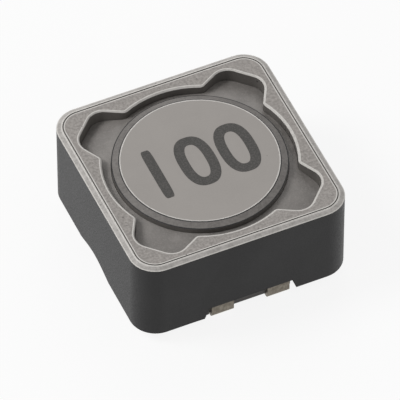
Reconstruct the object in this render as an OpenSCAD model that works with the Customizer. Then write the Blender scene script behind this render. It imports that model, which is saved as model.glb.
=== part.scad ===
// Shielded surface-mount power inductor: a ferrite drum core wound with enamelled wire,
// seated in a square ferrite shield and soldered to a board by two folded clips.
// Millimetres, +Z up. The solder pads stand on z = 0 and the clips face -Y and +Y.

/* [Shield core] */
// Width and depth of the square body
body_w = 12.5; // [11.5:0.1:14]
// Overall height, from the board to the top face
body_h = 6; // [5.4:0.1:8]
// Height of the shield's lower rim above the board
rim_z = 0.6; // [0.4:0.05:0.8]
// Radius of the upright corners
corner_r = 1.5; // [1.2:0.1:2]
// Width of the pressed bevel round the top and bottom edges
bevel_w = 0.3; // [0.2:0.01:0.34]
// Height of that bevel
bevel_h = 0.13; // [0.08:0.01:0.2]
// Width of the fine punch line just inside the bevel
punch_line_w = 0.07; // [0.05:0.01:0.1]
// Depth of the punch line
punch_line_d = 0.05; // [0.03:0.01:0.08]
// Thinnest wall between the round bore and the plain sides
bore_wall = 0.95; // [0.85:0.05:1.1]
// Edge break round the bore and the glue wells
edge_break = 0.08; // [0.04:0.01:0.1]

/* [Glue wells] */
// Depth of the four corner wells below the top face
well_depth = 1.15; // [0.9:0.05:1.5]
// Thickness of the shield behind a well, along the diagonal
well_wall = 1.52; // [1.4:0.02:1.9]
// Half width of a well where it opens into the bore
well_mouth = 1.75; // [1.5:0.05:1.9]
// Half width of a well at its back wall, before rounding
well_back = 1.26; // [1.1:0.05:1.4]
// Radius of a well's back corners
well_r = 0.9; // [0.5:0.05:1]
// Radius of the neck where a well meets the bore
neck_r = 0.34; // [0.2:0.02:0.4]
// Depth of the resin's surface below the top face, at a well's back wall
resin_depth = 0.85; // [0.6:0.05:0.95]
// How much higher the resin stands against the drum's flange
resin_rise = 0.4; // [0.1:0.05:0.5]
// How far the resin runs down between drum and shield, below the well floor
resin_skirt = 0.25; // [0.1:0.05:0.4]

/* [Shield underside] */
// Width of the lower rim beside the base, on the plain sides
side_lip = 0.37; // [0.34:0.01:0.5]
// Free height over the solder joints, inside the shield
relief_gap = 0.3; // [0.2:0.05:0.5]
// Half length of the ledges that seat on the drum's base
ledge_half = 1.6; // [1:0.1:1.7]
// Width of the terminal notch at the rim
notch_w = 5.5; // [5.3:0.1:5.8]
// Depth of the terminal notch from the rim
notch_d = 0.83; // [0.7:0.01:0.86]
// Sideways offset of the notches from the centre line
notch_shift = 0.2; // [0:0.05:0.25]
// Slope of the notch's ends, measured along the rim
notch_slope = 0.3; // [0.2:0.05:0.5]
// Length of the shallow dip in each plain side's rim
dip_len = 5.6; // [4.5:0.1:6]
// Depth of that dip
dip_d = 0.5; // [0.3:0.05:0.6]

/* [Drum core] */
// Gap between the round top flange and the bore
flange_gap = 0.5; // [0.4:0.05:0.7]
// Width of the bevel round the flange's flat ground face
face_inset = 0.45; // [0.3:0.05:0.6]
// Drop of the bevel round that face
face_drop = 0.15; // [0.1:0.01:0.25]
// Thickness of the top flange
flange_t = 1.2; // [1:0.05:1.4]
// Diameter of the post that carries the winding
post_d = 5.2; // [4.6:0.1:5.2]
// Fillet at the ends of the post
post_fillet = 0.2; // [0.1:0.01:0.22]
// Height of the base's underside above the board
base_z = 0.05; // [0.03:0.01:0.08]
// Thickness of the octagonal base
base_t = 1.45; // [1.35:0.05:1.6]
// Distance of each scooped corner from the body's upright corner, along the diagonal
scoop_inset = 2.87; // [2.8:0.01:2.95]
// Radius of the scooped corners
scoop_r = 2.85; // [2.7:0.05:3]
// Radius of the tips beside the scoops
tip_r = 0.5; // [0.3:0.05:0.6]
// Edge break round the base's underside
base_break = 0.08; // [0.05:0.01:0.1]
// Distance of the pressed ejector mark's centre from the base's plain side
mark_inset = 1.3; // [1.1:0.1:1.8]
// Lengthways place of the ejector mark
mark_y = 2; // [0:0.1:2.1]
// Diameter of the ejector mark
mark_d = 1.55; // [1.2:0.05:1.8]
// Depth and width of the mark's fine line
mark_line = 0.06; // [0.04:0.01:0.08]

/* [Terminal clips] */
// Thickness of the clip strip
clip_t = 0.2; // [0.15:0.01:0.22]
// Width of each solder pad
pad_w = 1.3; // [1.1:0.05:1.4]
// Width of each inner tongue
tongue_w = 0.95; // [0.8:0.05:1.1]
// Clear space between the two prongs of a clip
prong_gap = 2; // [1.8:0.05:2.2]
// Sideways offset of both clips from the centre line
clip_shift = 0.4; // [0:0.05:0.45]
// Set-back of the clips' legs from the shield's wall
leg_setback = 0.43; // [0.4:0.01:0.5]
// Length of a solder pad along the base, from the leg inwards
pad_len = 1.82; // [1.6:0.02:2]
// Length of a tongue, from its tip to the ramp
tongue_len = 1.1; // [0.8:0.05:1.3]
// Length of that ramp along the base
ramp_len = 0.3; // [0.2:0.05:0.4]
// Height of the tongue above the pad
tongue_rise = 0.35; // [0.2:0.05:0.4]
// Inner radius of the folds at the base's edge
fold_r = 0.1; // [0.05:0.01:0.15]
// Length of the bridge that lies on top of the base
bridge_len = 0.95; // [0.85:0.05:1.05]

/* [Winding] */
// Diameter of the enamelled wire
wire_d = 0.6; // [0.5:0.02:0.62]
// Free space between neighbouring turns
turn_gap = 0.05; // [0.04:0.01:0.1]
// Free space between the two layers
layer_gap = 0.08; // [0.07:0.01:0.12]
// Height of the lead's axis above the board where it crosses a scoop
lead_low_z = 0.72; // [0.6:0.02:0.8]
// Half the width of the lead's loop in a scoop
loop_half = 0.9; // [0.8:0.02:0.92]
// Bend radius of the leads, at the wire's axis
bend_r = 0.42; // [0.36:0.02:0.44]
// Height and width of the solder joint on each bridge
solder_h = 0.78; // [0.76:0.01:0.84]
// Length of the solder joint
solder_len = 1.4; // [1:0.1:1.6]

/* [Fits] */
// Clearance between the shield and the base, legs and leads inside it
base_fit = 0.08; // [0.06:0.01:0.1]
// Clearance between surfaces that seat on each other
seat_gap = 0.02; // [0.01:0.01:0.03]
// Clearance between the wire and what it passes
wire_fit = 0.05; // [0.04:0.01:0.06]

/* [Hidden] */
$fn = 96;
over = 0.5;
arc_steps = 8;

half_w = body_w / 2;
// Distance of the body's rounded upright corner from the centre
corner_reach = half_w * sqrt(2) - corner_r * (sqrt(2) - 1);
bore_d = body_w - 2 * bore_wall;
flange_d = bore_d - 2 * flange_gap;
face_d = flange_d - 2 * face_inset;
well_reach = corner_reach - well_wall;
scoop_reach = corner_reach - scoop_inset;
base_top = base_z + base_t;
flange_z = body_h - flange_t;
well_z = body_h - well_depth;
resin_z = body_h - resin_depth;
seat_z = base_top + seat_gap;

// The base and the opening round it
recess_x = half_w - side_lip;
base_half_x = recess_x - base_fit;
base_half_y = half_w - leg_setback - clip_t - seat_gap;
recess_y = half_w - leg_setback + base_fit;

// The clips' middle lines and faces
clip_y = half_w - leg_setback - clip_t / 2;
bridge_z = seat_z + clip_t / 2;
bridge_top = seat_z + clip_t;
ramp_y = clip_y - pad_len - ramp_len;
tongue_z = clip_t / 2 + tongue_rise;

// The wire's leads: their height over the bridges, and their loops in the scoops
wire_r = wire_d / 2;
lead_y = clip_y - bridge_len / 2;
lead_z = bridge_top + wire_fit + wire_r;
loop_reach = scoop_reach + scoop_r + wire_r + wire_fit
    - sqrt(scoop_r * scoop_r - loop_half * loop_half);
corner_face_reach = loop_reach + wire_r + base_fit;
relief_z = bridge_top + solder_h + relief_gap;

// ---- points and outlines -------------------------------------------------

function unit(v) = v / norm(v);

function arc(centre, r, from, to, steps = arc_steps) =
    [for (i = [0:steps]) let (a = from + (to - from) * i / steps)
        centre + r * [cos(a), sin(a)]];

function mirrored(points) =
    [for (i = [len(points) - 1:-1:0]) [points[i].x, -points[i].y]];

// One corner of a route rounded to radius r, as points on its arc.
function bend(a, b, c, r, steps) =
    let (
        u = unit(a - b), v = unit(c - b),
        half = acos(max(-1, min(1, u * v))) / 2,
        reach = r / tan(half),
        centre = b + unit(u + v) * r / sin(half),
        p = b + u * reach - centre,
        axis = unit(cross(p, b + v * reach - centre)),
        side = cross(axis, p),
        sweep = 180 - 2 * half
    )
    [for (i = [0:steps]) centre + p * cos(sweep * i / steps) + side * sin(sweep * i / steps)];

// A route through the points with every inner corner rounded.
function rounded_route(pts, r, steps) =
    [for (i = [0:len(pts) - 1])
        if (i == 0 || i == len(pts) - 1) pts[i]
        else each bend(pts[i - 1], pts[i], pts[i + 1], r, steps)];

// ---- solids shared by several pieces --------------------------------------

// A solid through several outlines of equal length, each at its own height.
module loft(outlines, heights) {
    n = len(outlines[0]);
    rows = len(outlines);
    points = [for (k = [0:rows - 1]) for (p = outlines[k]) [p.x, p.y, heights[k]]];
    walls = [for (k = [0:rows - 2]) for (i = [0:n - 1]) let (j = (i + 1) % n)
        [k * n + i, (k + 1) * n + i, (k + 1) * n + j, k * n + j]];
    polyhedron(points, concat(
        [[for (i = [0:n - 1]) i]],
        [[for (i = [n - 1:-1:0]) (rows - 1) * n + i]],
        walls
    ), convexity = 6);
}

// A round tube swept along a route without twist.
module tube(route, r, sides = 8) {
    n = len(route);
    along = [for (i = [0:n - 1]) unit(route[min(i + 1, n - 1)] - route[max(i - 1, 0)])];
    first = unit(cross(along[0], abs(along[0].z) < 0.9 ? [0, 0, 1] : [1, 0, 0]));
    normals = [for (i = 0, v = first; i < n; i = i + 1,
        v = i < n ? unit(v - (v * along[i]) * along[i]) : v) v];
    points = [for (i = [0:n - 1]) let (u = normals[i], w = cross(along[i], u))
        for (k = [0:sides - 1]) let (a = 360 * k / sides)
            route[i] + r * (u * cos(a) + w * sin(a))];
    walls = [for (i = [0:n - 2]) for (k = [0:sides - 1]) let (m = (k + 1) % sides)
        [i * sides + k, i * sides + m, (i + 1) * sides + m, (i + 1) * sides + k]];
    polyhedron(points, concat(
        [[for (k = [sides - 1:-1:0]) k]],
        [[for (k = [0:sides - 1]) (n - 1) * sides + k]],
        [for (f = walls) [f[3], f[2], f[1], f[0]]]
    ), convexity = 10);
}

// ---- shield core -----------------------------------------------------------

// A square block with round upright corners and bevelled top and bottom edges.
module bevelled_block(half, r, z0, z1, bw, bh) {
    side = [[half - bw, z0], [half, z0 + bh], [half, z1 - bh], [half - bw, z1]];
    section = concat(side, [for (i = [3:-1:0]) [-side[i].x, side[i].y]]);
    for (a = [0, 90])
        rotate([90, 0, a]) linear_extrude(2 * (half - r), center = true) polygon(section);
    for (sx = [-1, 1], sy = [-1, 1])
        translate([sx * (half - r), sy * (half - r), 0])
            rotate_extrude()
                polygon([[0, z0], [r - bw, z0], [r, z0 + bh], [r, z1 - bh], [r - bw, z1], [0, z1]]);
}

module rounded_square(half, r) {
    square([2 * half, 2 * (half - r)], center = true);
    square([2 * (half - r), 2 * half], center = true);
    for (sx = [-1, 1], sy = [-1, 1])
        translate([sx * (half - r), sy * (half - r)]) circle(r);
}

// The fine line that the punch leaves just inside a bevel.
module punch_line(z) {
    inset = bevel_w + punch_line_w / 2;
    translate([0, 0, z]) linear_extrude(2 * punch_line_d, center = true)
        difference() {
            rounded_square(half_w - inset, corner_r - inset);
            rounded_square(half_w - inset - punch_line_w, corner_r - inset - punch_line_w);
        }
}

// Half of a well's outline, from the bore to the back wall, the well lying along +X.
// The outline grows by g, so that the same points give the well, its edge break and the resin.
function well_half(g) =
    let (
        bore_r = bore_d / 2,
        mouth = [sqrt(bore_r * bore_r - well_mouth * well_mouth), well_mouth],
        along = unit([well_reach, well_back] - mouth),
        out = [-along.y, along.x],
        q = mouth + neck_r * out,
        b = q * along,
        s = -b + sqrt(b * b - q * q + (bore_r + neck_r) * (bore_r + neck_r)),
        neck = q + s * along,
        neck_a = atan2(neck.y, neck.x),
        round = arc(neck, neck_r - g, neck_a - 180, atan2(-out.y, -out.x)),
        start = round[arc_steps],
        corner = start + along * (well_reach + g - start.x) / along.x,
        back = bend([start.x, start.y, 0], [corner.x, corner.y, 0],
            [corner.x, 0, 0], well_r + g, arc_steps)
    )
    concat(
        [(bore_r - neck_r) * [cos(neck_a), sin(neck_a)]],
        [for (i = [1:arc_steps]) round[i]],
        [for (p = back) [p.x, p.y]]
    );

function well_outline(g, inner_x = 3) =
    let (half = well_half(g))
    concat([[inner_x, 0]], mirrored([for (i = [len(half) - 1:-1:0]) half[i]]),
        [for (i = [len(half) - 1:-1:0]) half[i]]);

module well() {
    // A little less than the bore's own edge break, so that no two cuts end at one level
    e = 0.8 * edge_break;
    translate([0, 0, well_z]) linear_extrude(body_h - well_z + over) polygon(well_outline(0));
    loft([well_outline(0), well_outline(e), well_outline(e)], [body_h - e, body_h, body_h + over]);
}

// The eight-sided opening in the underside that takes the drum's base.
module recess_outline() {
    reach = corner_face_reach * sqrt(2);
    quarter = [[recess_x, reach - recess_x], [reach - recess_y, recess_y]];
    polygon(concat(quarter, [for (p = [quarter[1], quarter[0]]) [-p.x, p.y]],
        -quarter, [for (p = [quarter[1], quarter[0]]) [p.x, -p.y]]));
}

// Room for the base, and above it room for the leads except over the two ledges.
module recess_cut() {
    translate([0, 0, rim_z - over])
        linear_extrude(seat_z - rim_z + over) recess_outline();
    translate([0, 0, rim_z]) linear_extrude(relief_z - rim_z) difference() {
        recess_outline();
        square([body_w, 2 * ledge_half], center = true);
    }
}

module bore_cut() {
    r = bore_d / 2;
    rotate_extrude() polygon([
        [0, rim_z - over], [r, rim_z - over], [r, body_h - edge_break],
        [r + 2 * edge_break, body_h + edge_break], [0, body_h + edge_break]
    ]);
}

module notch_cut() {
    top_half = notch_w / 2 - notch_slope;
    low_half = notch_w / 2 + notch_slope * over / notch_d;
    roof = rim_z + notch_d;
    translate([notch_shift, 0, 0]) rotate([90, 0, 0])
        linear_extrude(body_w + 2 * over, center = true)
            polygon([[-low_half, rim_z - over], [low_half, rim_z - over],
                [top_half, roof], [-top_half, roof]]);
}

module dip_cut() {
    steps = 24;
    wave = [for (i = [0:steps]) [dip_len * (i / steps - 0.5),
        rim_z + dip_d * (1 - cos(360 * i / steps)) / 2]];
    rotate([90, 0, 90]) linear_extrude(body_w + 2 * over, center = true)
        polygon(concat([[dip_len / 2, rim_z - over], [-dip_len / 2, rim_z - over]], wave));
}

module shield_core() {
    color("#5c5a59") difference() {
        bevelled_block(half_w, corner_r, rim_z, body_h, bevel_w, bevel_h);
        punch_line(rim_z);
        punch_line(body_h);
        bore_cut();
        for (a = [45:90:315]) rotate(a) well();
        recess_cut();
        notch_cut();
        dip_cut();
    }
}

// ---- drum core -------------------------------------------------------------

// A quarter of the base's outline, drawn in by g.
function base_quarter(g) =
    let (
        c = (scoop_reach + scoop_r) / sqrt(2),
        d = scoop_r + tip_r,
        tx = base_half_x - tip_r,
        ty = base_half_y - tip_r,
        side = [tx, c - sqrt(d * d - (c - tx) * (c - tx))],
        end = [c - sqrt(d * d - (c - ty) * (c - ty)), ty],
        a1 = atan2(c - side.y, c - side.x),
        a2 = atan2(c - end.y, c - end.x),
        scoop = arc([c, c], scoop_r + g, a1 + 180, a2 + 180, 2 * arc_steps)
    )
    concat(
        arc(side, tip_r - g, 0, a1),
        [for (i = [1:2 * arc_steps - 1]) scoop[i]],
        arc(end, tip_r - g, a2, 90)
    );

function base_outline(g) =
    let (q = base_quarter(g), n = len(q) - 1, back = [for (i = [n:-1:0]) q[i]])
    concat(q, [for (p = back) [-p.x, p.y]], -q, [for (p = back) [p.x, -p.y]]);

// The strip's middle line in a plane across the part: distance from the centre, height.
clip_corners = [
    [ramp_y - tongue_len, tongue_z, 0], [ramp_y, tongue_z, 0], [ramp_y + ramp_len, clip_t / 2, 0],
    [clip_y, clip_t / 2, 0], [clip_y, bridge_z, 0], [clip_y - bridge_len, bridge_z, 0]
];
fold_steps = 5;
clip_line = rounded_route(clip_corners, fold_r + clip_t / 2, fold_steps);
// Index of the point where the ramp ends and the wide pad starts
pad_from = 2 * (fold_steps + 1);

// A line in the plane moved sideways by s, to its left where s is positive.
function beside(line, s) =
    let (n = len(line) - 1)
    [for (i = [0:n]) let (d = unit(line[min(i + 1, n)] - line[max(i - 1, 0)]))
        [line[i].x - d.y * s, line[i].y + d.x * s]];

// A strip of thickness t along a line in the plane.
function strip(line, t) =
    let (right = beside(line, -t / 2))
    concat(beside(line, t / 2), [for (i = [len(line) - 1:-1:0]) right[i]]);

// A section drawn in (distance from centre, height), spread along X from x0 to x1.
module across(x0, x1) {
    translate([x0, 0, 0]) rotate([90, 0, 90]) linear_extrude(x1 - x0) children();
}

// Everything below the strip's upper face, as room for a clip under the base.
module clip_room() {
    t = clip_t + 2 * seat_gap;
    tongue_out = prong_gap / 2 + tongue_w + base_fit;
    pad_out = prong_gap / 2 + pad_w + base_fit;
    line = beside(clip_line, t / 2);
    tip = line[0].x - base_fit;
    across(-tongue_out, tongue_out)
        polygon(concat([[tip, -over], [tip, line[0].y]],
            [for (i = [1:pad_from]) line[i]], [[line[pad_from].x, -over]]));
    across(-pad_out, pad_out)
        polygon(concat([[line[pad_from - 3].x, -over]],
            [for (i = [pad_from - 3:pad_from]) line[i]],
            [[body_w, line[pad_from].y], [body_w, -over]]));
    across(-pad_out, pad_out)
        polygon(strip([for (i = [pad_from:len(clip_line) - 1]) clip_line[i]], t));
}

module drum_core() {
    post_r = post_d / 2;
    f = post_fillet;
    color("#a39d98") difference() {
        union() {
            loft([base_outline(base_break), base_outline(0), base_outline(0)],
                [base_z, base_z + base_break, base_top]);
            rotate_extrude() polygon(concat(
                [[0, base_top - base_t / 4], [post_r + f, base_top - base_t / 4]],
                arc([post_r + f, base_top + f], f, 270, 180),
                arc([post_r + f, flange_z - f], f, 180, 90),
                [[flange_d / 2, flange_z], [flange_d / 2, body_h - face_drop],
                    [face_d / 2, body_h], [0, body_h]]
            ));
        }
        translate([clip_shift, 0, 0]) clip_room();
        translate([clip_shift, 0, 0]) mirror([0, 1, 0]) clip_room();
        translate([base_half_x - mark_inset, mark_y, base_z]) difference() {
            cylinder(h = 2 * mark_line, d = mark_d, center = true);
            cylinder(h = 3 * mark_line, d = mark_d - 2 * mark_line, center = true);
        }
    }
}

// ---- terminal clips ---------------------------------------------------------

module clip() {
    inner = prong_gap / 2;
    pad_line = [for (i = [pad_from - 1:len(clip_line) - 1]) clip_line[i]];
    tongue_line = [for (i = [0:pad_from]) clip_line[i]];
    for (side = [0, 1]) mirror([side, 0, 0]) {
        across(inner, inner + pad_w) polygon(strip(pad_line, clip_t));
        across(inner, inner + tongue_w) polygon(strip(tongue_line, clip_t));
    }
    across(-inner - pad_w, inner + pad_w)
        translate([clip_y - bridge_len, bridge_z - clip_t / 2])
            square([bridge_len - clip_t / 2 - fold_r, clip_t]);
}

module terminal_front() {
    color("#d9d5c8") translate([clip_shift, 0, 0]) mirror([0, 1, 0]) clip();
}

module terminal_rear() {
    color("#d9d5c8") translate([clip_shift, 0, 0]) clip();
}

// ---- winding ----------------------------------------------------------------

first_z = base_top + wire_fit + wire_r;
last_z = flange_z - wire_fit - wire_r;
inner_r = post_d / 2 + wire_fit + wire_r;
outer_r = inner_r + wire_d + layer_gap;
turns = floor((last_z - first_z) / (wire_d + turn_gap) + 0.001);
pitch = (last_z - first_z) / turns;
turn_steps = 24;
loop_leg = [
    (loop_reach + loop_half) / sqrt(2), -(loop_reach - loop_half) / sqrt(2), 0
];
loop_end = [
    (loop_reach - loop_half) / sqrt(2), -(loop_reach + loop_half) / sqrt(2), 0
];
leg_a = atan2(loop_leg.y, loop_leg.x);
// Bearings at which the two leads leave the layers
outer_a = leg_a + acos(outer_r / norm(loop_leg));
inner_a = leg_a + 180 - acos(inner_r / norm(loop_leg));
cross_sweep = 60;
gap_a = inner_a - cross_sweep - outer_a;
outer_sweep = 360 * (turns - 1) + gap_a - 360 * floor((gap_a + 180) / 360);

// A lead from the winding over the corner scoop to its bridge, as corners of its route.
function lead(leave, shift) = [
    leave,
    [loop_leg.x, loop_leg.y, first_z],
    [loop_leg.x, loop_leg.y, lead_low_z],
    [loop_end.x, loop_end.y, lead_low_z],
    [loop_end.x, loop_end.y, lead_z],
    [prong_gap / 2 + pad_w + wire_r + shift, -lead_y, lead_z],
    [prong_gap / 2 + shift - wire_r, -lead_y, lead_z]
];

function wound() = concat(
    [for (i = [0:turns * turn_steps]) let (a = inner_a - 360 * i / turn_steps)
        [inner_r * cos(a), inner_r * sin(a), first_z + pitch * i / turn_steps]],
    [for (i = [1:3]) let (a = inner_a - cross_sweep * i / 4, r = inner_r + (outer_r - inner_r) * i / 4)
        [r * cos(a), r * sin(a), last_z]],
    let (n = round(outer_sweep * turn_steps / 360))
    [for (i = [0:n]) let (a = inner_a - cross_sweep - outer_sweep * i / n)
        [outer_r * cos(a), outer_r * sin(a), last_z - pitch * outer_sweep / 360 * i / n]]
);

module winding() {
    turns_route = wound();
    n = len(turns_route);
    front = rounded_route(lead(turns_route[n - 1], clip_shift), bend_r, 4);
    start = [-turns_route[0].x, -turns_route[0].y, turns_route[0].z];
    rear = [for (p = rounded_route(lead(start, -clip_shift), bend_r, 4)) [-p.x, -p.y, p.z]];
    color("#b8793a") tube(concat(
        [for (i = [len(rear) - 1:-1:1]) rear[i]],
        turns_route,
        [for (i = [1:len(front) - 1]) front[i]]
    ), wire_r);
}

// ---- solder and resin ---------------------------------------------------------

module solder(shift) {
    x0 = prong_gap / 2 + shift - wire_r / 2;
    cap_r = bridge_top + solder_h - lead_z;
    cap = arc([-lead_y, lead_z], cap_r, 0, 180, 2 * arc_steps);
    color("#c9c7c0") across(x0, x0 + solder_len) difference() {
        polygon(concat([[-lead_y + cap_r, bridge_top]], cap, [[-lead_y - cap_r, bridge_top]]));
        translate([-lead_y, lead_z]) circle(wire_r + seat_gap);
    }
}

module solder_front() {
    solder(clip_shift);
}

module solder_rear() {
    rotate(180) solder(-clip_shift);
}

// One bead: it fills a well and spreads a quarter of the way round the groove, to its neighbours.
module resin(a) {
    inner_r = flange_d / 2 + seat_gap;
    outer_r = bore_d / 2 - seat_gap;
    skirt_z = well_z - resin_skirt;
    apex = seat_gap / sqrt(2);
    color("#77726e") rotate(a) intersection() {
        union() {
            translate([0, 0, skirt_z]) linear_extrude(body_h - skirt_z) intersection() {
                circle(outer_r);
                polygon([[apex, 0], [apex + body_w, -body_w], [apex + body_w, body_w]]);
            }
            translate([0, 0, well_z + seat_gap])
                linear_extrude(resin_depth + over) polygon(well_outline(-seat_gap));
        }
        rotate_extrude() polygon([
            [inner_r, skirt_z - over], [well_reach + over, skirt_z - over],
            [well_reach + over, resin_z], [well_reach, resin_z],
            [inner_r, resin_z + resin_rise]
        ]);
    }
}

module resin_front_left() {
    resin(225);
}

module resin_front_right() {
    resin(315);
}

module resin_rear_left() {
    resin(135);
}

module resin_rear_right() {
    resin(45);
}

shield_core();
drum_core();
winding();
terminal_front();
terminal_rear();
solder_front();
solder_rear();
resin_front_left();
resin_front_right();
resin_rear_left();
resin_rear_right();
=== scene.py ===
import math

import bmesh
import bpy
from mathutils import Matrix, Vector


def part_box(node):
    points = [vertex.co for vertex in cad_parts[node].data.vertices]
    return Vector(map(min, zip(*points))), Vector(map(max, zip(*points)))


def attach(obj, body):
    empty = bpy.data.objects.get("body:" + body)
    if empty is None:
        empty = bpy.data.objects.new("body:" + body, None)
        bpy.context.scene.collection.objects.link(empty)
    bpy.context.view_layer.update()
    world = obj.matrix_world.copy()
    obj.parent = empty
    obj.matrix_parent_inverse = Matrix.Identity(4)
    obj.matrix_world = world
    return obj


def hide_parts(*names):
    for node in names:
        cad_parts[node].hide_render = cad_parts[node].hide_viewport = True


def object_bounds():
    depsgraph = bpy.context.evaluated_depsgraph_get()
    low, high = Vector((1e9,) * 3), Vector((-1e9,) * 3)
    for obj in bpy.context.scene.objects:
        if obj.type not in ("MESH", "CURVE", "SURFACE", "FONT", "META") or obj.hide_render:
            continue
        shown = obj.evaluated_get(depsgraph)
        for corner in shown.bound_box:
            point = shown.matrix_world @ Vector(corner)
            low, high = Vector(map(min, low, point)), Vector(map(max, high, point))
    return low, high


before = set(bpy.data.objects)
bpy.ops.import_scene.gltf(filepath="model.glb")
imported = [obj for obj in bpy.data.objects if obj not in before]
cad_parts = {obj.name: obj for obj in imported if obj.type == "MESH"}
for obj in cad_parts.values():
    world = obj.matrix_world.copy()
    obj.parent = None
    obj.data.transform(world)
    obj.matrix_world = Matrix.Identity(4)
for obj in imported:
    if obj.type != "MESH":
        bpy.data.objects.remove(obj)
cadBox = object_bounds()
mm = 0.001
print("frame loaded:", len(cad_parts), "nodes")


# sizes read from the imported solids
shieldLow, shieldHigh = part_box("shield_core")
topLevel = shieldHigh[2]
bodyHalf = shieldHigh[0]
bodyCentre = Vector((0, 0, topLevel / 2))


# short way to add a node: settings are its properties, inputs are values or sockets
def addNode(tree, kind, settings=None, inputs=None):
    made = tree.nodes.new(kind)
    for name, value in (settings or {}).items():
        setattr(made, name, value)
    for name, value in (inputs or {}).items():
        socket = made.inputs[name]
        if isinstance(value, bpy.types.NodeSocket):
            tree.links.new(value, socket)
        else:
            socket.default_value = value
    return made


# a material with its tree, its shader set to plain values, and the coordinates to work from
def startMaterial(name, shaderValues):
    material = bpy.data.materials.new(name)
    material.use_nodes = True
    tree = material.node_tree
    shader = tree.nodes["Principled BSDF"]
    for socket, value in shaderValues.items():
        shader.inputs[socket].default_value = value
    coords = addNode(tree, "ShaderNodeTexCoord").outputs["Object"]
    return material, tree, shader, coords


# noise at a grain size in metres, stretched along the axes by the given factors
def addNoise(tree, coords, size, detail=2, stretch=(1, 1, 1)):
    squeezed = tuple(1 / s for s in stretch)
    mapped = addNode(tree, "ShaderNodeMapping", inputs={"Vector": coords, "Scale": squeezed})
    noise = addNode(tree, "ShaderNodeTexNoise", inputs={
        "Vector": mapped.outputs["Vector"], "Scale": 1 / size,
        "Detail": detail, "Roughness": 0.6})
    return noise.outputs["Fac"]


# goes smoothly from the first result to the second as the value passes between its ends
def addRange(tree, value, ends, results=(0.0, 1.0)):
    mapped = addNode(tree, "ShaderNodeMapRange", {"interpolation_type": "SMOOTHSTEP"}, {
        "Value": value, "From Min": ends[0], "From Max": ends[1],
        "To Min": results[0], "To Max": results[1]})
    return mapped.outputs["Result"]


def addMath(tree, operation, first, second):
    made = addNode(tree, "ShaderNodeMath", {"operation": operation}, {0: first, 1: second})
    return made.outputs[0]


def mixColour(tree, share, first, second):
    mixed = addNode(tree, "ShaderNodeMix", {"data_type": "RGBA"})
    colourInputs = [s for s in mixed.inputs if s.type == "RGBA"]
    tree.links.new(share, mixed.inputs[0])
    for socket, value in zip(colourInputs, (first, second)):
        if isinstance(value, bpy.types.NodeSocket):
            tree.links.new(value, socket)
        else:
            socket.default_value = (*value, 1)
    return [s for s in mixed.outputs if s.type == "RGBA"][0]


# one colour laid over another where a mask is, to a given share
def layColour(tree, under, over, mask, share):
    return mixColour(tree, addMath(tree, "MULTIPLY", mask, share), under, over)


# gives the shader its colour, its roughness and the height that makes its bump
def finishShader(tree, shader, colour, rough, height, look):
    bump = addNode(tree, "ShaderNodeBump", inputs={
        "Height": height, "Strength": look["bump"], "Distance": look["bumpDepth"]})
    for name, output in (("Base Color", colour), ("Roughness", rough),
                         ("Normal", bump.outputs["Normal"])):
        tree.links.new(output, shader.inputs[name])


# pressed or ground ferrite, some of it painted lighter as painted highlight and painted light: patches,
# fine grain, streaks and pores
def makeFerrite(name, look):
    material, tree, shader, coords = startMaterial(name, {"Specular IOR Level": look["shine"]})
    patches = addRange(tree, addNoise(tree, coords, look["patch"], detail=4), look["patchEnds"])
    grain = addNoise(tree, coords, look["grain"], detail=3)
    streaks = addNoise(tree, coords, look["grain"] * look["streakWidth"], stretch=look["streak"])
    cells = addNode(tree, "ShaderNodeTexVoronoi", {"feature": "F1"}, {
        "Vector": coords, "Scale": 1 / look["pore"], "Randomness": 1.0})
    pores = addRange(tree, cells.outputs["Distance"], (look["poreEdge"] / 2, look["poreEdge"]),
                     (1.0, 0.0))
    groups = addNoise(tree, coords, look["pore"] * look["poreGroup"])
    pores = addMath(tree, "MULTIPLY", pores, addRange(tree, groups, look["groupEnds"]))
    colour = mixColour(tree, patches, look["dark"], look["light"])
    colour = layColour(tree, colour, look["bright"], addRange(tree, grain, look["fleckEnds"]),
                       look["fleck"])
    colour = layColour(tree, colour, look["dark"], addRange(tree, streaks, look["scratchEnds"]),
                       look["scratch"])
    colour = layColour(tree, colour, look["poreColour"], pores, look["poreShare"])
    rough = addRange(tree, grain, look["grainEnds"],
                     (look["rough"] - look["roughSwing"], look["rough"] + look["roughSwing"]))
    raised = addMath(tree, "ADD", grain, addMath(tree, "MULTIPLY", streaks, look["streakBump"]))
    finishShader(tree, shader, colour, rough, addMath(tree, "SUBTRACT", raised, pores), look)
    return material


# what all ferrite has in common: ends say between which values a noise comes up
ferriteLook = {
    "patchEnds": (0.35, 0.65), "fleckEnds": (0.32, 0.7), "scratchEnds": (0.5, 0.72),
    "groupEnds": (0.5, 0.58), "grainEnds": (0.3, 0.7), "poreGroup": 2.3, "poreShare": 0.85,
    "streakWidth": 1.6, "streakBump": 0.5, "roughSwing": 0.1,
}
pressedLook = dict(ferriteLook, **{
    "dark": (0.014, 0.0137, 0.014), "light": (0.018, 0.0177, 0.018), "bright": (0.032, 0.0315, 0.032),
    "poreColour": (0.008, 0.008, 0.008), "patch": 2.6 * mm, "grain": 0.08 * mm, "fleck": 0.25,
    "pore": 0.7 * mm, "poreEdge": 0.1, "streak": (1, 1, 14), "scratch": 0.2, "shine": 0.27,
    "rough": 0.46, "bump": 0.35, "bumpDepth": 0.012 * mm,
})
groundLook = dict(ferriteLook, **{
    "dark": (0.232, 0.214, 0.2), "light": (0.26, 0.24, 0.225), "bright": (0.5, 0.468, 0.44),
    "poreColour": (0.14, 0.13, 0.122), "patch": 2.2 * mm, "grain": 0.15 * mm, "fleck": 0.6,
    "pore": 0.6 * mm, "poreEdge": 0.11, "streak": (16, 1, 1), "scratch": 0.35, "shine": 0.35,
    "rough": 0.52, "bump": 0.6, "bumpDepth": 0.02 * mm,
})
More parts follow.
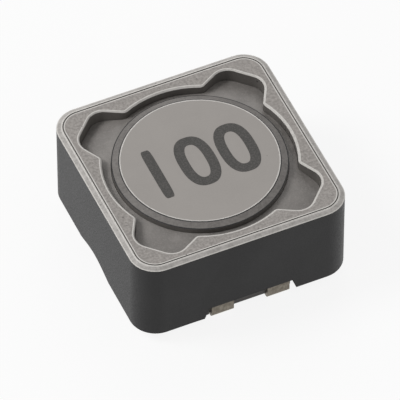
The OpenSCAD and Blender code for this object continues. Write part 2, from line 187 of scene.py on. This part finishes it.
# the shield rim's bevel band, painted lighter than the ground face as a painted highlight
paintedBevelHighlightLook = dict(groundLook, **{
    "dark": (0.33, 0.315, 0.298), "light": (0.42, 0.4, 0.38), "bright": (0.6, 0.575, 0.55),
    "poreColour": (0.2, 0.19, 0.18), "patch": 0.5 * mm, "fleck": 0.5,
    "streak": (3, 3, 1), "scratch": 0.2, "rough": 0.45,
})
# near-white ferrite as painted highlight: thin bright lines inside edges, the flat strip on the rim, and
# the chamfers round the bore and wells
paintedEdgeHighlightLook = dict(paintedBevelHighlightLook, **{
    "dark": (0.56, 0.54, 0.51), "light": (0.64, 0.615, 0.585), "bright": (0.74, 0.715, 0.685),
    "fleck": 0.4, "scratch": 0.1,
})
# pressed ferrite painted many times lighter than the outer walls: painted light on the walls of the
# bore, wells and groove, and on the drum's middle
paintedLightWellLook = dict(pressedLook, **{
    "dark": (0.12, 0.112, 0.104), "light": (0.16, 0.149, 0.139), "bright": (0.22, 0.206, 0.193),
    "streak": (1, 1, 8),
})
drumFaceLook = dict(groundLook, **{
    "dark": (0.325, 0.303, 0.284), "light": (0.342, 0.319, 0.299), "bright": (0.39, 0.364, 0.342),
    "patch": 3 * mm, "grain": 0.1 * mm, "fleck": 0.3, "scratch": 0.15, "poreEdge": 0.05,
    "bump": 0.2, "bumpDepth": 0.01 * mm,
})
flangeBevelLook = dict(groundLook, **{
    "dark": (0.13, 0.121, 0.114), "light": (0.165, 0.154, 0.145), "bright": (0.235, 0.22, 0.208),
    "patch": 0.9 * mm, "streak": (2, 2, 1),
})
baseLook = dict(groundLook, **{
    "dark": (0.365, 0.342, 0.32), "light": (0.4, 0.375, 0.352), "bright": (0.47, 0.443, 0.418),
    "patch": 2.4 * mm, "fleck": 0.35, "scratch": 0.12, "streak": (3, 3, 1),
})
baseSideLook = dict(pressedLook, **{
    "dark": (0.075, 0.07, 0.066), "light": (0.105, 0.098, 0.093), "bright": (0.16, 0.15, 0.143),
})


# tin plate or solder: a cloudy metal with faint drawn stains
def makeTin(name, look):
    material, tree, shader, coords = startMaterial(name, {"Metallic": 1.0})
    cloud = addRange(tree, addNoise(tree, coords, look["cloud"], detail=3), look["cloudEnds"])
    brushed = addNoise(tree, coords, look["brush"], stretch=look["brushStretch"])
    colour = mixColour(tree, cloud, look["dark"], look["light"])
    colour = layColour(tree, colour, look["stain"], addRange(tree, brushed, look["stainEnds"]),
                       look["stainShare"])
    rough = addRange(tree, cloud, (0, 1), (look["rough"], look["rough"] + look["roughRise"]))
    finishShader(tree, shader, colour, rough, addMath(tree, "ADD", brushed, cloud), look)
    return material


tinLook = {
    "dark": (0.46, 0.43, 0.355), "light": (0.62, 0.59, 0.51), "stain": (0.33, 0.29, 0.22),
    "cloud": 0.6 * mm, "cloudEnds": (0.35, 0.68), "brush": 0.05 * mm, "brushStretch": (1, 18, 18),
    "stainEnds": (0.5, 0.7), "stainShare": 0.25, "rough": 0.3, "roughRise": 0.14, "bump": 0.35,
    "bumpDepth": 0.01 * mm,
}
# the same tin plate painted darker for the clips' upright legs: painted shade
paintedShadeTinLook = dict(tinLook, **{
    "dark": (0.16, 0.141, 0.113), "light": (0.28, 0.254, 0.212), "stain": (0.1, 0.086, 0.066),
    "cloud": 0.22 * mm, "rough": 0.42,
})
solderLook = dict(tinLook, **{
    "dark": (0.5, 0.5, 0.49), "light": (0.68, 0.67, 0.65), "cloud": 0.35 * mm, "rough": 0.22,
    "bumpDepth": 0.03 * mm,
})


# clear enamel over copper: a metal under a glossy coat
def makeEnamel(name, look):
    material, tree, shader, coords = startMaterial(name, {
        "Metallic": 1.0, "Coat Weight": 1.0, "Coat Roughness": 0.08, "Coat IOR": 1.55,
        "Coat Tint": (*look["tint"], 1)})
    cloud = addRange(tree, addNoise(tree, coords, look["cloud"], detail=3), look["cloudEnds"])
    drawn = addNoise(tree, coords, look["drawn"])
    colour = mixColour(tree, cloud, look["dark"], look["light"])
    finishShader(tree, shader, colour, addRange(tree, drawn, look["drawnEnds"], look["rough"]),
                 drawn, look)
    return material


enamelLook = {
    "dark": (0.36, 0.15, 0.045), "light": (0.62, 0.32, 0.12), "tint": (1.0, 0.86, 0.62),
    "cloud": 0.8 * mm, "cloudEnds": (0.35, 0.65), "drawn": 0.12 * mm, "drawnEnds": (0.3, 0.7),
    "rough": (0.2, 0.36), "bump": 0.2, "bumpDepth": 0.01 * mm,
}


# grey resin: cloudy, with fine pale filler in it
def makeResin(name, look):
    material, tree, shader, coords = startMaterial(name, {"Specular IOR Level": look["shine"]})
    cloud = addRange(tree, addNoise(tree, coords, look["cloud"], detail=3), look["cloudEnds"])
    filler = addNoise(tree, coords, look["filler"])
    colour = mixColour(tree, cloud, look["dark"], look["light"])
    colour = layColour(tree, colour, look["bright"], addRange(tree, filler, look["speckEnds"]),
                       look["speckShare"])
    rough = addRange(tree, filler, look["fillerEnds"], look["rough"])
    finishShader(tree, shader, colour, rough, addMath(tree, "ADD", cloud, filler), look)
    return material


resinLook = {
    "dark": (0.19, 0.177, 0.166), "light": (0.245, 0.229, 0.215), "bright": (0.32, 0.3, 0.283),
    "cloud": 1.1 * mm, "cloudEnds": (0.35, 0.68), "filler": 0.1 * mm, "fillerEnds": (0.3, 0.7),
    "speckEnds": (0.45, 0.7), "speckShare": 0.35, "shine": 0.45, "rough": (0.35, 0.55),
    "bump": 0.5, "bumpDepth": 0.025 * mm,
}


# thin ink over ferrite: fine dots where the grain shows through
def makeInk(name, look):
    material, tree, shader, coords = startMaterial(name, {"Specular IOR Level": look["shine"]})
    dots = addRange(tree, addNoise(tree, coords, look["dot"]), look["dotEnds"])
    colour = mixColour(tree, dots, look["dark"], look["light"])
    finishShader(tree, shader, colour, addRange(tree, dots, (0, 1), look["rough"]), dots, look)
    return material


inkLook = {
    "dark": (0.05, 0.048, 0.045), "light": (0.1, 0.095, 0.09), "dot": 0.09 * mm,
    "dotEnds": (0.4, 0.66), "shine": 0.3, "rough": (0.55, 0.75), "bump": 0.3,
    "bumpDepth": 0.008 * mm,
}

pressedFerrite = makeFerrite("pressedFerrite", pressedLook)
drumFaceFerrite = makeFerrite("drumFaceFerrite", drumFaceLook)
baseSideFerrite = makeFerrite("baseSideFerrite", baseSideLook)
groundFerrite = makeFerrite("groundFerrite", groundLook)
paintedBevelHighlightFerrite = makeFerrite("paintedBevelHighlightFerrite", paintedBevelHighlightLook)
paintedEdgeHighlightFerrite = makeFerrite("paintedEdgeHighlightFerrite", paintedEdgeHighlightLook)
paintedLightWellFerrite = makeFerrite("paintedLightWellFerrite", paintedLightWellLook)
flangeBevelFerrite = makeFerrite("flangeBevelFerrite", flangeBevelLook)
baseFerrite = makeFerrite("baseFerrite", baseLook)
tinPlate = makeTin("tinPlate", tinLook)
paintedShadeTin = makeTin("paintedShadeTin", paintedShadeTinLook)
solderAlloy = makeTin("solderAlloy", solderLook)
enamelledCopper = makeEnamel("enamelledCopper", enamelLook)
greyResin = makeResin("greyResin", resinLook)
markingInk = makeInk("markingInk", inkLook)
print("materials made")


# points closer than merge become one, and edges shorter than sliver go
# angles are in degrees: where two faces meet at more than that, their edge stays sharp
meshSettings = {
    "merge": 0.0005 * mm, "sliver": 0.0002 * mm, "ferriteAngle": 20, "clipAngle": 35,
    "solderAngle": 40, "resinAngle": 35, "wireAngle": 50,
}


# where one finish gives way to the next; tilts are the upward part of a face's direction; line is the
# width of the painted highlight and painted shadow lines
finishLayout = {
    "cornerRadius": 1.5 * mm, "bevelDrop": 0.2 * mm, "rimWidth": 0.37 * mm, "margin": 0.025 * mm,
    "line": 0.06 * mm, "flangeBevelDrop": 0.3 * mm, "baseTop": topLevel / 3,
    "flatTilt": 0.99, "slopeTilt": 0.15, "underTilt": -0.5, "legTilt": 0.3,
}


def shadeByAngle(mesh, angle):
    if "custom_normal" in mesh.attributes:
        mesh.attributes.remove(mesh.attributes["custom_normal"])
    mesh.set_sharp_from_angle(angle=math.radians(angle))


# a mesh as a piece of the part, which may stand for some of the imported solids
def addPiece(name, mesh, slotName, *stoodFor):
    mesh.name = name
    piece = bpy.data.objects.new(name, mesh)
    bpy.context.scene.collection.objects.link(piece)
    if stoodFor:
        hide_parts(*stoodFor)
    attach(piece, "root")


# a merged copy of a imported solid, with a finish picked for each of its faces
# lines: just inside the edges of one finish's faces runs a fine line of another finish, as a painted
# highlight line or painted shadow line
def dressNode(nodeName, slotName, finishes, angle, pickFinish=None, lines=None):
    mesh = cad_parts[nodeName].data.copy()
    mesh.materials.clear()
    for material in finishes.values():
        mesh.materials.append(material)
    order = list(finishes)
    work = bmesh.new()
    work.from_mesh(mesh)
    bmesh.ops.remove_doubles(work, verts=work.verts, dist=meshSettings["merge"])
    bmesh.ops.dissolve_degenerate(work, dist=meshSettings["sliver"], edges=work.edges)
    for face in work.faces:
        face.smooth = True
        face.material_index = order.index(pickFinish(face)) if pickFinish else 0
    for finish, lineFinish in (lines or {}).items():
        region = [face for face in work.faces if face.material_index == order.index(finish)]
        made = bmesh.ops.inset_region(work, faces=region, thickness=finishLayout["line"],
                                      use_boundary=True, use_even_offset=False)
        for face in made["faces"]:
            face.material_index = order.index(lineFinish)
            face.smooth = True
    work.to_mesh(mesh)
    work.free()
    shadeByAngle(mesh, angle)
    addPiece(nodeName + "Finish", mesh, slotName, nodeName)


# how far a point lies inside the outline of the square body
def outlineInset(point):
    radius = finishLayout["cornerRadius"]
    x, y = (abs(c) - bodyHalf + radius for c in point.xy)
    return radius - (math.hypot(x, y) if min(x, y) > 0 else max(x, y))


# flat faces on the rim and chamfers off the rim get the painted edge highlight, the rim's sloped band
# its painted highlight, and the inner walls the ferrite painted lighter as painted light
def pickShieldFinish(face):
    centre = face.calc_center_median()
    tilt = abs(face.normal.z)
    inset = outlineInset(centre)
    depth = min(topLevel - centre.z, centre.z - shieldLow[2])
    onRim = inset < finishLayout["rimWidth"]
    if tilt > finishLayout["flatTilt"] and depth < finishLayout["margin"]:
        return "edge" if onRim else "ground"
    if finishLayout["slopeTilt"] < tilt < finishLayout["flatTilt"] and depth < finishLayout["bevelDrop"]:
        return "bevel" if onRim else "edge"
    if inset < finishLayout["margin"]:
        return "wall"
    return "inside" if depth < finishLayout["bevelDrop"] or centre.z > topLevel / 2 else "wall"


# the drum's middle gets the pressed ferrite painted lighter as painted light
def pickDrumFinish(face):
    level = face.calc_center_median().z
    if level > topLevel - finishLayout["flangeBevelDrop"]:
        return "top" if face.normal.z > finishLayout["flatTilt"] else "bevel"
    if level < finishLayout["baseTop"]:
        return "base" if face.normal.z < finishLayout["underTilt"] else "baseSide"
    return "inside"


# upright leg faces get the tin painted darker as painted shade, flat pad faces the plain tin
def pickClipFinish(face):
    return "leg" if abs(face.normal.z) < finishLayout["legTilt"] else "pad"


# on the shield, bevel and edge are painted highlights and inside is pressed ferrite painted lighter as
# painted light; on the drum, edge and inside are the same, and shadow is pressed ferrite laid as painted
# shadow lines
shieldFinishes = {
    "wall": pressedFerrite, "ground": groundFerrite, "bevel": paintedBevelHighlightFerrite,
    "inside": paintedLightWellFerrite, "edge": paintedEdgeHighlightFerrite,
}
drumFinishes = {
    "top": drumFaceFerrite, "bevel": flangeBevelFerrite, "base": baseFerrite,
    "baseSide": baseSideFerrite, "inside": paintedLightWellFerrite, "edge": paintedEdgeHighlightFerrite,
    "shadow": pressedFerrite,
}
# on the shield, fine painted highlight lines run inside the edges of the ground and bevel faces
dressNode("shield_core", "shield_ferrite", shieldFinishes, meshSettings["ferriteAngle"],
          pickShieldFinish, {"ground": "edge", "bevel": "edge"})
# on the drum, a fine painted highlight line runs inside the top face's edges, and a painted shadow line
# of pressed ferrite inside the flange bevel's edges
dressNode("drum_core", "drum_ferrite", drumFinishes, meshSettings["ferriteAngle"],
          pickDrumFinish, {"top": "edge", "bevel": "shadow"})
for end in ("front", "rear"):
    dressNode("terminal_" + end, "tinned_clip", {"pad": tinPlate, "leg": paintedShadeTin},
              meshSettings["clipAngle"], pickClipFinish)
    dressNode("solder_" + end, "solder", {"alloy": solderAlloy}, meshSettings["solderAngle"])
print("cores, clips and solder dressed")


# points within seam of the plane between two beads belong to that seam
resinLayout = {"seam": 0.05 * mm, "merge": 0.002 * mm}


# the four beads meet round the groove, so they are shown as one body with no seams
def dressResin():
    beads = ["resin_" + end + "_" + side for end in ("front", "rear") for side in ("left", "right")]
    seam = resinLayout["seam"]
    work = bmesh.new()
    for bead in beads:
        work.from_mesh(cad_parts[bead].data)
    bmesh.ops.remove_doubles(work, verts=work.verts, dist=meshSettings["merge"])
    for vert in work.verts:
        for axis in (0, 1):
            if abs(vert.co[axis]) < seam:
                vert.co[axis] = 0
    ends = [face for face in work.faces
            if all(v.co.x == 0 for v in face.verts) or all(v.co.y == 0 for v in face.verts)]
    bmesh.ops.delete(work, geom=ends, context="FACES")
    # a seam keeps its inner and outer points, and the ones between them go
    onSeam = [vert for vert in work.verts if vert.co.x == 0 or vert.co.y == 0]
    reaches = [vert.co.xy.length for vert in onSeam]
    between = [vert for vert, reach in zip(onSeam, reaches)
               if min(reaches) + seam < reach < max(reaches) - seam]
    bmesh.ops.dissolve_verts(work, verts=between)
    bmesh.ops.triangulate(work, faces=work.faces)
    bmesh.ops.remove_doubles(work, verts=work.verts, dist=resinLayout["merge"])
    for face in work.faces:
        face.smooth = True
    mesh = bpy.data.meshes.new("resinFill")
    work.to_mesh(mesh)
    openEdges = sum(not edge.is_manifold for edge in work.edges)
    work.free()
    mesh.materials.append(greyResin)
    shadeByAngle(mesh, meshSettings["resinAngle"])
    addPiece("resinFill", mesh, "resin", *beads)
    print("resin joined, open edges:", openEdges)


dressResin()


# the wire's sizes, with crossSweep in degrees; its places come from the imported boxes
wireSizes = {
    "radius": 0.3 * mm, "innerRadius": 2.95 * mm, "outerRadius": 3.63 * mm, "rise": 2.6 * mm,
    "turns": 4, "crossSweep": 60, "loopHalf": 0.9 * mm, "bendRadius": 0.42 * mm,
    "endRun": 1.9 * mm, "clipGap": 0.05 * mm, "stepsPerTurn": 48, "crossSteps": 8,
    "bendSteps": 8, "sides": 20,
}
wireRadius = wireSizes["radius"]
windingLow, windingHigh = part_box("winding")
solderLow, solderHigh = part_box("solder_front")
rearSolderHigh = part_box("solder_rear")[1]
wireLevels = {
    "loop": windingLow[2] + wireRadius, "last": windingHigh[2] - wireRadius,
    "lead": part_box("terminal_front")[1][2] + wireSizes["clipGap"] + wireRadius,
}
wireLevels["first"] = wireLevels["last"] - wireSizes["rise"]
# where a lead drops past the edge of its scoop
legX = windingHigh[0] - wireRadius
legY = -legX + math.sqrt(2) * wireSizes["loopHalf"]


# a corner b of a route a-b-c, rounded to a radius
def roundCorner(a, b, c, radius, steps):
    u, v = (a - b).normalized(), (c - b).normalized()
    half = u.angle(v) / 2
    centre = b + (u + v).normalized() * radius / math.sin(half)
    first = b + u * radius / math.tan(half) - centre
    last = b + v * radius / math.tan(half) - centre
    axis = first.cross(last).normalized()
    side = axis.cross(first)
    sweep = math.pi - 2 * half
    return [centre + first * math.cos(sweep * i / steps) + side * math.sin(sweep * i / steps)
            for i in range(steps + 1)]


# from a point on the winding, over the scoop and back to the clip's bridge
def leadRoute(leave, endX):
    leadY = (solderLow[1] + solderHigh[1]) / 2
    loop, lead = wireLevels["loop"], wireLevels["lead"]
    corners = [
        leave, Vector((legX, legY, wireLevels["first"])), Vector((legX, legY, loop)),
        Vector((-legY, -legX, loop)), Vector((-legY, -legX, lead)),
        Vector((endX + wireSizes["endRun"], leadY, lead)), Vector((endX, leadY, lead))]
    route = []
    for before, corner, after in zip(corners, corners[1:], corners[2:]):
        route += roundCorner(before, corner, after, wireSizes["bendRadius"],
                             wireSizes["bendSteps"])
    return route + [corners[-1]]


def ringPoint(radius, angle, level):
    return Vector((radius * math.cos(angle), radius * math.sin(angle), level))


def halfTurned(point):
    return Vector((-point.x, -point.y, point.z))


# up the inner layer, across, down the outer layer, with a lead at each end
def wireRoute():
    inner, outer = wireSizes["innerRadius"], wireSizes["outerRadius"]
    legAngle, legReach = math.atan2(legY, legX), math.hypot(legX, legY)
    outerAngle = legAngle + math.acos(outer / legReach)
    innerAngle = legAngle + math.pi - math.acos(inner / legReach)
    cross, crossSteps = math.radians(wireSizes["crossSweep"]), wireSizes["crossSteps"]
    turns, steps = wireSizes["turns"], wireSizes["stepsPerTurn"]
    pitch = wireSizes["rise"] / turns
    gap = innerAngle - cross - outerAngle
    outerSweep = 2 * math.pi * (turns - 1) + gap - 2 * math.pi * math.floor(
        (gap + math.pi) / (2 * math.pi))
    route = [ringPoint(inner, innerAngle - 2 * math.pi * i / steps,
                       wireLevels["first"] + pitch * i / steps) for i in range(turns * steps + 1)]
    route += [ringPoint(inner + (outer - inner) * i / crossSteps,
                        innerAngle - cross * i / crossSteps, wireLevels["last"])
              for i in range(1, crossSteps)]
    downSteps = round(outerSweep * steps / (2 * math.pi))
    route += [ringPoint(outer, innerAngle - cross - outerSweep * i / downSteps,
                        wireLevels["last"] - pitch * outerSweep / (2 * math.pi) * i / downSteps)
              for i in range(downSteps + 1)]
    front = leadRoute(route[-1], solderLow[0] - wireRadius / 2)
    rear = leadRoute(halfTurned(route[0]), -rearSolderHigh[0] - wireRadius / 2)
    return [halfTurned(point) for point in rear[::-1]] + route + front


# a tree that sweeps a round wire along a route
def makeSweepTree():
    tree = bpy.data.node_groups.new("sweptWire", "GeometryNodeTree")
    interface = tree.interface
    interface.new_socket("Geometry", in_out="INPUT", socket_type="NodeSocketGeometry")
    sockets = {
        name: interface.new_socket(name, in_out="INPUT", socket_type=kind).identifier
        for name, kind in (("wireRadius", "NodeSocketFloat"), ("sides", "NodeSocketInt"),
                           ("finish", "NodeSocketMaterial"))}
    interface.new_socket("Geometry", in_out="OUTPUT", socket_type="NodeSocketGeometry")
    start = addNode(tree, "NodeGroupInput")
    profile = addNode(tree, "GeometryNodeCurvePrimitiveCircle", inputs={
        "Resolution": start.outputs["sides"], "Radius": start.outputs["wireRadius"]})
    swept = addNode(tree, "GeometryNodeCurveToMesh", inputs={
        "Curve": start.outputs["Geometry"], "Profile Curve": profile.outputs["Curve"],
        "Fill Caps": True})
    smooth = addNode(tree, "GeometryNodeSetShadeSmooth", inputs={"Geometry": swept.outputs["Mesh"]})
    real = addNode(tree, "GeometryNodeRealizeInstances", inputs={
        "Geometry": smooth.outputs["Geometry"]})
    finish = addNode(tree, "GeometryNodeSetMaterial", inputs={
        "Geometry": real.outputs["Geometry"], "Material": start.outputs["finish"]})
    addNode(tree, "NodeGroupOutput", inputs={"Geometry": finish.outputs["Geometry"]})
    return tree, sockets


# the plain mesh that an object's modifiers make; the object itself goes
def bakeMesh(carrier):
    bpy.context.view_layer.update()
    evaluated = carrier.evaluated_get(bpy.context.evaluated_depsgraph_get())
    mesh = bpy.data.meshes.new_from_object(evaluated)
    bpy.data.objects.remove(carrier)
    return mesh


def makeWinding():
    route = wireRoute()
    curve = bpy.data.curves.new("wireRoute", "CURVE")
    curve.dimensions = "3D"
    spline = curve.splines.new("POLY")
    spline.points.add(len(route) - 1)
    for point, place in zip(spline.points, route):
        point.co = (*place, 1)
    carrier = bpy.data.objects.new("wireCarrier", curve)
    bpy.context.scene.collection.objects.link(carrier)
    tree, sockets = makeSweepTree()
    modifier = carrier.modifiers.new("sweep", "NODES")
    modifier.node_group = tree
    modifier[sockets["wireRadius"]] = wireRadius
    modifier[sockets["sides"]] = wireSizes["sides"]
    modifier[sockets["finish"]] = enamelledCopper
    mesh = bakeMesh(carrier)
    work = bmesh.new()
    work.from_mesh(mesh)
    bmesh.ops.remove_doubles(work, verts=work.verts, dist=meshSettings["merge"])
    bmesh.ops.recalc_face_normals(work, faces=work.faces)
    work.to_mesh(mesh)
    work.free()
    shadeByAngle(mesh, meshSettings["wireAngle"])
    addPiece("windingWire", mesh, "enamelled_wire", "winding")


makeWinding()
print("winding swept")


# a plain printed value on the drum's top face
markSizes = {
    "stroke": 0.58 * mm, "height": 3.6 * mm, "width": 2.1 * mm, "pitch": 2.35 * mm,
    "film": 0.006 * mm, "centreX": -0.15 * mm, "centreY": 0.0, "roundSquareness": 2.5,
    "barSquareness": 6, "steps": 64,
}


# an outline of rounded shape: a squareness of 2 is an ellipse, more is squarer
def roundedOutline(halfWidth, halfHeight, squareness):
    points = []
    for i in range(markSizes["steps"]):
        angle = 2 * math.pi * i / markSizes["steps"]
        c, s = math.cos(angle), math.sin(angle)
        points.append((halfWidth * math.copysign(abs(c) ** (2 / squareness), c),
                       halfHeight * math.copysign(abs(s) ** (2 / squareness), s)))
    return points


# a film of ink between two outlines, or a solid one when there is no inner outline
def addFilm(work, outer, inner, shiftX):
    def loopAt(points, level):
        return [work.verts.new((x + shiftX, y + markSizes["centreY"], level)) for x, y in points]

    low, high = topLevel - markSizes["film"], topLevel + markSizes["film"]
    outerLow, outerHigh = loopAt(outer, low), loopAt(outer, high)
    count = len(outer)
    for i in range(count):
        j = (i + 1) % count
        work.faces.new((outerLow[i], outerLow[j], outerHigh[j], outerHigh[i]))
    if inner is None:
        work.faces.new(outerHigh)
        work.faces.new(outerLow[::-1])
        return
    innerLow, innerHigh = loopAt(inner, low), loopAt(inner, high)
    for i in range(count):
        j = (i + 1) % count
        work.faces.new((innerLow[j], innerLow[i], innerHigh[i], innerHigh[j]))
        work.faces.new((outerHigh[i], outerHigh[j], innerHigh[j], innerHigh[i]))
        work.faces.new((outerLow[j], outerLow[i], innerLow[i], innerLow[j]))


def makeMarking():
    work = bmesh.new()
    stroke, pitch = markSizes["stroke"], markSizes["pitch"]
    halfHeight, halfWidth = markSizes["height"] / 2, markSizes["width"] / 2
    squareness = markSizes["roundSquareness"]
    left = markSizes["centreX"] - pitch
    addFilm(work, roundedOutline(stroke / 2, halfHeight, markSizes["barSquareness"]), None, left)
    for place in (1, 2):
        addFilm(work, roundedOutline(halfWidth, halfHeight, squareness),
                roundedOutline(halfWidth - stroke, halfHeight - stroke, squareness),
                left + place * pitch)
    mesh = bpy.data.meshes.new("printedValue")
    work.to_mesh(mesh)
    work.free()
    mesh.materials.append(markingInk)
    addPiece("printedValue", mesh, "drum_ferrite")


makeMarking()
print("marking printed")


stageLook = {
    "floorHalf": 0.5, "floorDrop": 0.02 * mm, "floorColour": (0.9, 0.9, 0.9), "floorShade": 0.99,
    "floorPatch": 0.05, "patchEnds": (0.3, 0.7), "floorRough": 0.9, "floorShine": 0.1,
    "floorWhite": 0.88, "lightFill": 0.38,
}
lampLooks = {
    "keyLamp": {"power": 0.5, "size": 0.14, "place": (-0.2, 0.08, 0.24)},
    "rimLamp": {"power": 0.16, "size": 0.2, "place": (0.1, 0.22, 0.22)},
}
cameraLook = {
    "place": (-95.0 * mm, -211.9 * mm, 271.9 * mm), "lens": 590, "sensor": 36,
    "aimDrop": 0.3 * mm, "clipStart": 0.01, "clipEnd": 10,
}


# 1 on rays from the camera, off a glossy surface or through glass, and 0 on the rest
def seenRays(tree):
    path = addNode(tree, "ShaderNodeLightPath")
    seen = addMath(tree, "MAXIMUM", path.outputs["Is Camera Ray"], path.outputs["Is Glossy Ray"])
    return addMath(tree, "MAXIMUM", seen, path.outputs["Is Transmission Ray"])


def makeFloor():
    mesh = bpy.data.meshes.new("floor")
    half = stageLook["floorHalf"]
    level = cadBox[0][2] - stageLook["floorDrop"]
    mesh.from_pydata([(-half, -half, level), (half, -half, level), (half, half, level),
                      (-half, half, level)], [], [(0, 1, 2, 3)])
    floor = bpy.data.objects.new("floor", mesh)
    bpy.context.scene.collection.objects.link(floor)
    material, tree, shader, coords = startMaterial("floorPaper", {
        "Roughness": stageLook["floorRough"], "Specular IOR Level": stageLook["floorShine"]})
    tone = addRange(tree, addNoise(tree, coords, stageLook["floorPatch"]), stageLook["patchEnds"])
    pale = stageLook["floorColour"]
    shaded = tuple(stageLook["floorShade"] * c for c in pale)
    tree.links.new(mixColour(tree, tone, shaded, pale), shader.inputs["Base Color"])
    white = addNode(tree, "ShaderNodeEmission", inputs={"Color": (1, 1, 1, 1), "Strength": 1.0})
    share = addMath(tree, "MULTIPLY", seenRays(tree), stageLook["floorWhite"])
    both = addNode(tree, "ShaderNodeMixShader", inputs={
        0: share, 1: shader.outputs[0], 2: white.outputs[0]})
    tree.links.new(both.outputs[0], tree.nodes["Material Output"].inputs["Surface"])
    mesh.materials.append(material)


# even light on the object, and plain white where the background itself is seen
def makeWorld():
    world = bpy.data.worlds.new("studio")
    bpy.context.scene.world = world
    world.use_nodes = True
    tree = world.node_tree
    tree.nodes.clear()
    fill = addNode(tree, "ShaderNodeBackground", inputs={
        "Color": (1, 1, 1, 1), "Strength": stageLook["lightFill"]})
    white = addNode(tree, "ShaderNodeBackground", inputs={"Color": (1, 1, 1, 1), "Strength": 1.0})
    both = addNode(tree, "ShaderNodeMixShader", inputs={
        0: seenRays(tree), 1: fill.outputs[0], 2: white.outputs[0]})
    addNode(tree, "ShaderNodeOutputWorld", inputs={"Surface": both.outputs[0]})


# an object for a lamp or camera, set at a place and turned to a target
def addAimed(name, data, place, target):
    made = bpy.data.objects.new(name, data)
    made.location = place
    made.rotation_euler = (target - Vector(place)).to_track_quat("-Z", "Y").to_euler()
    bpy.context.scene.collection.objects.link(made)
    return made


def addLamp(name, look):
    data = bpy.data.lights.new(name, "AREA")
    data.energy = look["power"]
    data.shape = "DISK"
    data.size = look["size"]
    addAimed(name, data, look["place"], bodyCentre)


def makeCamera():
    data = bpy.data.cameras.new("viewCamera")
    data.lens = cameraLook["lens"]
    data.sensor_width = cameraLook["sensor"]
    data.clip_start = cameraLook["clipStart"]
    data.clip_end = cameraLook["clipEnd"]
    aim = bodyCentre - Vector((0, 0, cameraLook["aimDrop"]))
    bpy.context.scene.camera = addAimed("viewCamera", data, cameraLook["place"], aim)


makeFloor()
makeWorld()
for name, look in lampLooks.items():
    addLamp(name, look)
print("floor and lights set")

makeCamera()
bpy.context.scene.view_settings.view_transform = "Standard"
print("camera placed")
